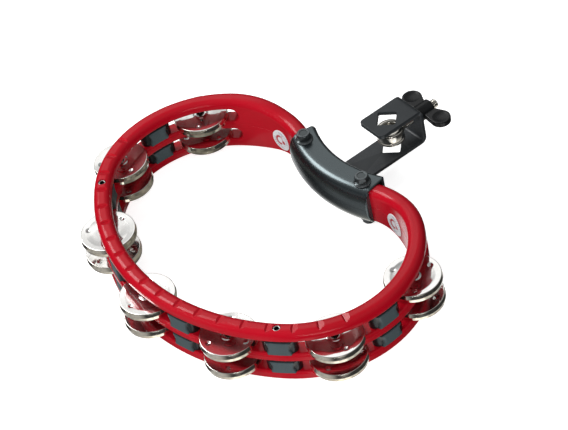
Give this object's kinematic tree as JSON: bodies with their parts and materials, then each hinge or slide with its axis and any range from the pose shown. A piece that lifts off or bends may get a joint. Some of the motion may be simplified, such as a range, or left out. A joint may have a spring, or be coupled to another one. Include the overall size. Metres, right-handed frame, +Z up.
{
  "type": "mountable tambourine",
  "caption": "Two-row jingle tambourine ring of red plastic with a pulled-in side held in a black clamp, on a steel bracket whose eyebolt and wing nut grip a rod.",
  "frame": {"origin": "middle of the outer box in plan, on the surface that the ring lies on", "axes": "+X from the notched playing edge to the bracket and wing nut, +Y to the left seen from above with the bracket ahead, +Z up along the jingle pins"},
  "size_m": [0.3194, 0.3284, 0.0506],
  "materials": {
    "red_shell": "deep red moulded plastic, satin gloss",
    "clamp_plastic": "charcoal black moulded plastic, satin",
    "spacer_plastic": "slate black plastic, satin",
    "jingle_steel": "polished steel, mirror finish",
    "pin_steel": "drawn steel pin",
    "rim_screw_steel": "bright steel socket screws",
    "black_bolt": "black coated steel, gloss",
    "bracket_coat": "black powder coat on bent steel sheet, satin",
    "eyebolt_plate": "bright nickel and zinc plated steel",
    "nut_coat": "black coated cast wing nut, satin gloss",
    "badge_print": "white printed vinyl disc"
  },
  "bodies": {
    "ring": {"frame_upper": "red_shell", "frame_lower": "red_shell", "spacers_upper_row": "spacer_plastic", "spacers_lower_row": "spacer_plastic", "rim_screws": "rim_screw_steel", "rim_screw_nuts": "rim_screw_steel", "clamp_upper_shell": "clamp_plastic", "clamp_lower_shell": "clamp_plastic", "clamp_bolts": "black_bolt", "clamp_nuts": "black_bolt", "mounting_bracket": "bracket_coat", "washer": "bracket_coat", "badge_left": "badge_print", "badge_right": "badge_print"},
    "wing_nut": {"wing_nut": "nut_coat"},
    "eyebolt": {"eyebolt": "eyebolt_plate"},
    "pin_1": {"jingle_pin_1": "pin_steel"},
    "lower_row_1_bottom": {"jingle_lower_row_1_bottom": "jingle_steel"},
    "lower_row_1_top": {"jingle_lower_row_1_top": "jingle_steel"},
    "upper_row_1_bottom": {"jingle_upper_row_1_bottom": "jingle_steel"},
    "upper_row_1_top": {"jingle_upper_row_1_top": "jingle_steel"},
    "pin_2": {"jingle_pin_2": "pin_steel"},
    "lower_row_2_bottom": {"jingle_lower_row_2_bottom": "jingle_steel"},
    "lower_row_2_top": {"jingle_lower_row_2_top": "jingle_steel"},
    "upper_row_2_bottom": {"jingle_upper_row_2_bottom": "jingle_steel"},
    "upper_row_2_top": {"jingle_upper_row_2_top": "jingle_steel"},
    "pin_3": {"jingle_pin_3": "pin_steel"},
    "lower_row_3_bottom": {"jingle_lower_row_3_bottom": "jingle_steel"},
    "lower_row_3_top": {"jingle_lower_row_3_top": "jingle_steel"},
    "upper_row_3_bottom": {"jingle_upper_row_3_bottom": "jingle_steel"},
    "upper_row_3_top": {"jingle_upper_row_3_top": "jingle_steel"},
    "pin_4": {"jingle_pin_4": "pin_steel"},
    "lower_row_4_bottom": {"jingle_lower_row_4_bottom": "jingle_steel"},
    "lower_row_4_top": {"jingle_lower_row_4_top": "jingle_steel"},
    "upper_row_4_bottom": {"jingle_upper_row_4_bottom": "jingle_steel"},
    "upper_row_4_top": {"jingle_upper_row_4_top": "jingle_steel"},
    "pin_5": {"jingle_pin_5": "pin_steel"},
    "lower_row_5_bottom": {"jingle_lower_row_5_bottom": "jingle_steel"},
    "lower_row_5_top": {"jingle_lower_row_5_top": "jingle_steel"},
    "upper_row_5_bottom": {"jingle_upper_row_5_bottom": "jingle_steel"},
    "upper_row_5_top": {"jingle_upper_row_5_top": "jingle_steel"},
    "pin_6": {"jingle_pin_6": "pin_steel"},
    "lower_row_6_bottom": {"jingle_lower_row_6_bottom": "jingle_steel"},
    "lower_row_6_top": {"jingle_lower_row_6_top": "jingle_steel"},
    "upper_row_6_bottom": {"jingle_upper_row_6_bottom": "jingle_steel"},
    "upper_row_6_top": {"jingle_upper_row_6_top": "jingle_steel"},
    "pin_7": {"jingle_pin_7": "pin_steel"},
    "lower_row_7_bottom": {"jingle_lower_row_7_bottom": "jingle_steel"},
    "lower_row_7_top": {"jingle_lower_row_7_top": "jingle_steel"},
    "upper_row_7_bottom": {"jingle_upper_row_7_bottom": "jingle_steel"},
    "upper_row_7_top": {"jingle_upper_row_7_top": "jingle_steel"}
  },
  "joints": [
    {"name": "wing_nut_turn", "type": "hinge", "parent": "ring", "child": "wing_nut", "pos_m": [0.144, 0, 0.0323], "axis": [1, 0, 0], "range_deg": [-1440, 2160]},
    {"name": "eyebolt_slide", "type": "slide", "parent": "ring", "child": "eyebolt", "axis": [1, 0, 0], "range_m": [-0.005, 0.0075]},
    {"name": "station_1_spin", "type": "hinge", "parent": "ring", "child": "pin_1", "pos_m": [0.01753, 0.13707, 0.025], "axis": [0, 0, 1], "continuous": true},
    {"name": "lower_row_1_bottom_lift", "type": "slide", "parent": "pin_1", "child": "lower_row_1_bottom", "axis": [0, 0, 1], "range_m": [0, 0.0018]},
    {"name": "lower_row_1_top_lift", "type": "slide", "parent": "lower_row_1_bottom", "child": "lower_row_1_top", "axis": [0, 0, 1], "range_m": [0, 0.0018]},
    {"name": "upper_row_1_bottom_lift", "type": "slide", "parent": "pin_1", "child": "upper_row_1_bottom", "axis": [0, 0, 1], "range_m": [0, 0.0025]},
    {"name": "upper_row_1_top_lift", "type": "slide", "parent": "upper_row_1_bottom", "child": "upper_row_1_top", "axis": [0, 0, 1], "range_m": [0, 0.0025]},
    {"name": "station_2_spin", "type": "hinge", "parent": "ring", "child": "pin_2", "pos_m": [-0.06271, 0.14123, 0.025], "axis": [0, 0, 1], "continuous": true},
    {"name": "lower_row_2_bottom_lift", "type": "slide", "parent": "pin_2", "child": "lower_row_2_bottom", "axis": [0, 0, 1], "range_m": [0, 0.0018]},
    {"name": "lower_row_2_top_lift", "type": "slide", "parent": "lower_row_2_bottom", "child": "lower_row_2_top", "axis": [0, 0, 1], "range_m": [0, 0.0018]},
    {"name": "upper_row_2_bottom_lift", "type": "slide", "parent": "pin_2", "child": "upper_row_2_bottom", "axis": [0, 0, 1], "range_m": [0, 0.0025]},
    {"name": "upper_row_2_top_lift", "type": "slide", "parent": "upper_row_2_bottom", "child": "upper_row_2_top", "axis": [0, 0, 1], "range_m": [0, 0.0025]},
    {"name": "station_3_spin", "type": "hinge", "parent": "ring", "child": "pin_3", "pos_m": [-0.11796, 0.0807, 0.025], "axis": [0, 0, 1], "continuous": true},
    {"name": "lower_row_3_bottom_lift", "type": "slide", "parent": "pin_3", "child": "lower_row_3_bottom", "axis": [0, 0, 1], "range_m": [0, 0.0018]},
    {"name": "lower_row_3_top_lift", "type": "slide", "parent": "lower_row_3_bottom", "child": "lower_row_3_top", "axis": [0, 0, 1], "range_m": [0, 0.0018]},
    {"name": "upper_row_3_bottom_lift", "type": "slide", "parent": "pin_3", "child": "upper_row_3_bottom", "axis": [0, 0, 1], "range_m": [0, 0.0025]},
    {"name": "upper_row_3_top_lift", "type": "slide", "parent": "upper_row_3_bottom", "child": "upper_row_3_top", "axis": [0, 0, 1], "range_m": [0, 0.0025]},
    {"name": "station_4_spin", "type": "hinge", "parent": "ring", "child": "pin_4", "pos_m": [-0.1367, 0, 0.025], "axis": [0, 0, 1], "continuous": true},
    {"name": "lower_row_4_bottom_lift", "type": "slide", "parent": "pin_4", "child": "lower_row_4_bottom", "axis": [0, 0, 1], "range_m": [0, 0.0018]},
    {"name": "lower_row_4_top_lift", "type": "slide", "parent": "lower_row_4_bottom", "child": "lower_row_4_top", "axis": [0, 0, 1], "range_m": [0, 0.0018]},
    {"name": "upper_row_4_bottom_lift", "type": "slide", "parent": "pin_4", "child": "upper_row_4_bottom", "axis": [0, 0, 1], "range_m": [0, 0.0025]},
    {"name": "upper_row_4_top_lift", "type": "slide", "parent": "upper_row_4_bottom", "child": "upper_row_4_top", "axis": [0, 0, 1], "range_m": [0, 0.0025]},
    {"name": "station_5_spin", "type": "hinge", "parent": "ring", "child": "pin_5", "pos_m": [-0.11796, -0.0807, 0.025], "axis": [0, 0, 1], "continuous": true},
    {"name": "lower_row_5_bottom_lift", "type": "slide", "parent": "pin_5", "child": "lower_row_5_bottom", "axis": [0, 0, 1], "range_m": [0, 0.0018]},
    {"name": "lower_row_5_top_lift", "type": "slide", "parent": "lower_row_5_bottom", "child": "lower_row_5_top", "axis": [0, 0, 1], "range_m": [0, 0.0018]},
    {"name": "upper_row_5_bottom_lift", "type": "slide", "parent": "pin_5", "child": "upper_row_5_bottom", "axis": [0, 0, 1], "range_m": [0, 0.0025]},
    {"name": "upper_row_5_top_lift", "type": "slide", "parent": "upper_row_5_bottom", "child": "upper_row_5_top", "axis": [0, 0, 1], "range_m": [0, 0.0025]},
    {"name": "station_6_spin", "type": "hinge", "parent": "ring", "child": "pin_6", "pos_m": [-0.06271, -0.14123, 0.025], "axis": [0, 0, 1], "continuous": true},
    {"name": "lower_row_6_bottom_lift", "type": "slide", "parent": "pin_6", "child": "lower_row_6_bottom", "axis": [0, 0, 1], "range_m": [0, 0.0018]},
    {"name": "lower_row_6_top_lift", "type": "slide", "parent": "lower_row_6_bottom", "child": "lower_row_6_top", "axis": [0, 0, 1], "range_m": [0, 0.0018]},
    {"name": "upper_row_6_bottom_lift", "type": "slide", "parent": "pin_6", "child": "upper_row_6_bottom", "axis": [0, 0, 1], "range_m": [0, 0.0025]},
    {"name": "upper_row_6_top_lift", "type": "slide", "parent": "upper_row_6_bottom", "child": "upper_row_6_top", "axis": [0, 0, 1], "range_m": [0, 0.0025]},
    {"name": "station_7_spin", "type": "hinge", "parent": "ring", "child": "pin_7", "pos_m": [0.01753, -0.13707, 0.025], "axis": [0, 0, 1], "continuous": true},
    {"name": "lower_row_7_bottom_lift", "type": "slide", "parent": "pin_7", "child": "lower_row_7_bottom", "axis": [0, 0, 1], "range_m": [0, 0.0018]},
    {"name": "lower_row_7_top_lift", "type": "slide", "parent": "lower_row_7_bottom", "child": "lower_row_7_top", "axis": [0, 0, 1], "range_m": [0, 0.0018]},
    {"name": "upper_row_7_bottom_lift", "type": "slide", "parent": "pin_7", "child": "upper_row_7_bottom", "axis": [0, 0, 1], "range_m": [0, 0.0025]},
    {"name": "upper_row_7_top_lift", "type": "slide", "parent": "upper_row_7_bottom", "child": "upper_row_7_top", "axis": [0, 0, 1], "range_m": [0, 0.0025]}
  ],
  "couplings": [
    {"joint": "eyebolt_slide", "follows": "wing_nut_turn", "m_per_rad": 0.00019894}
  ]
}
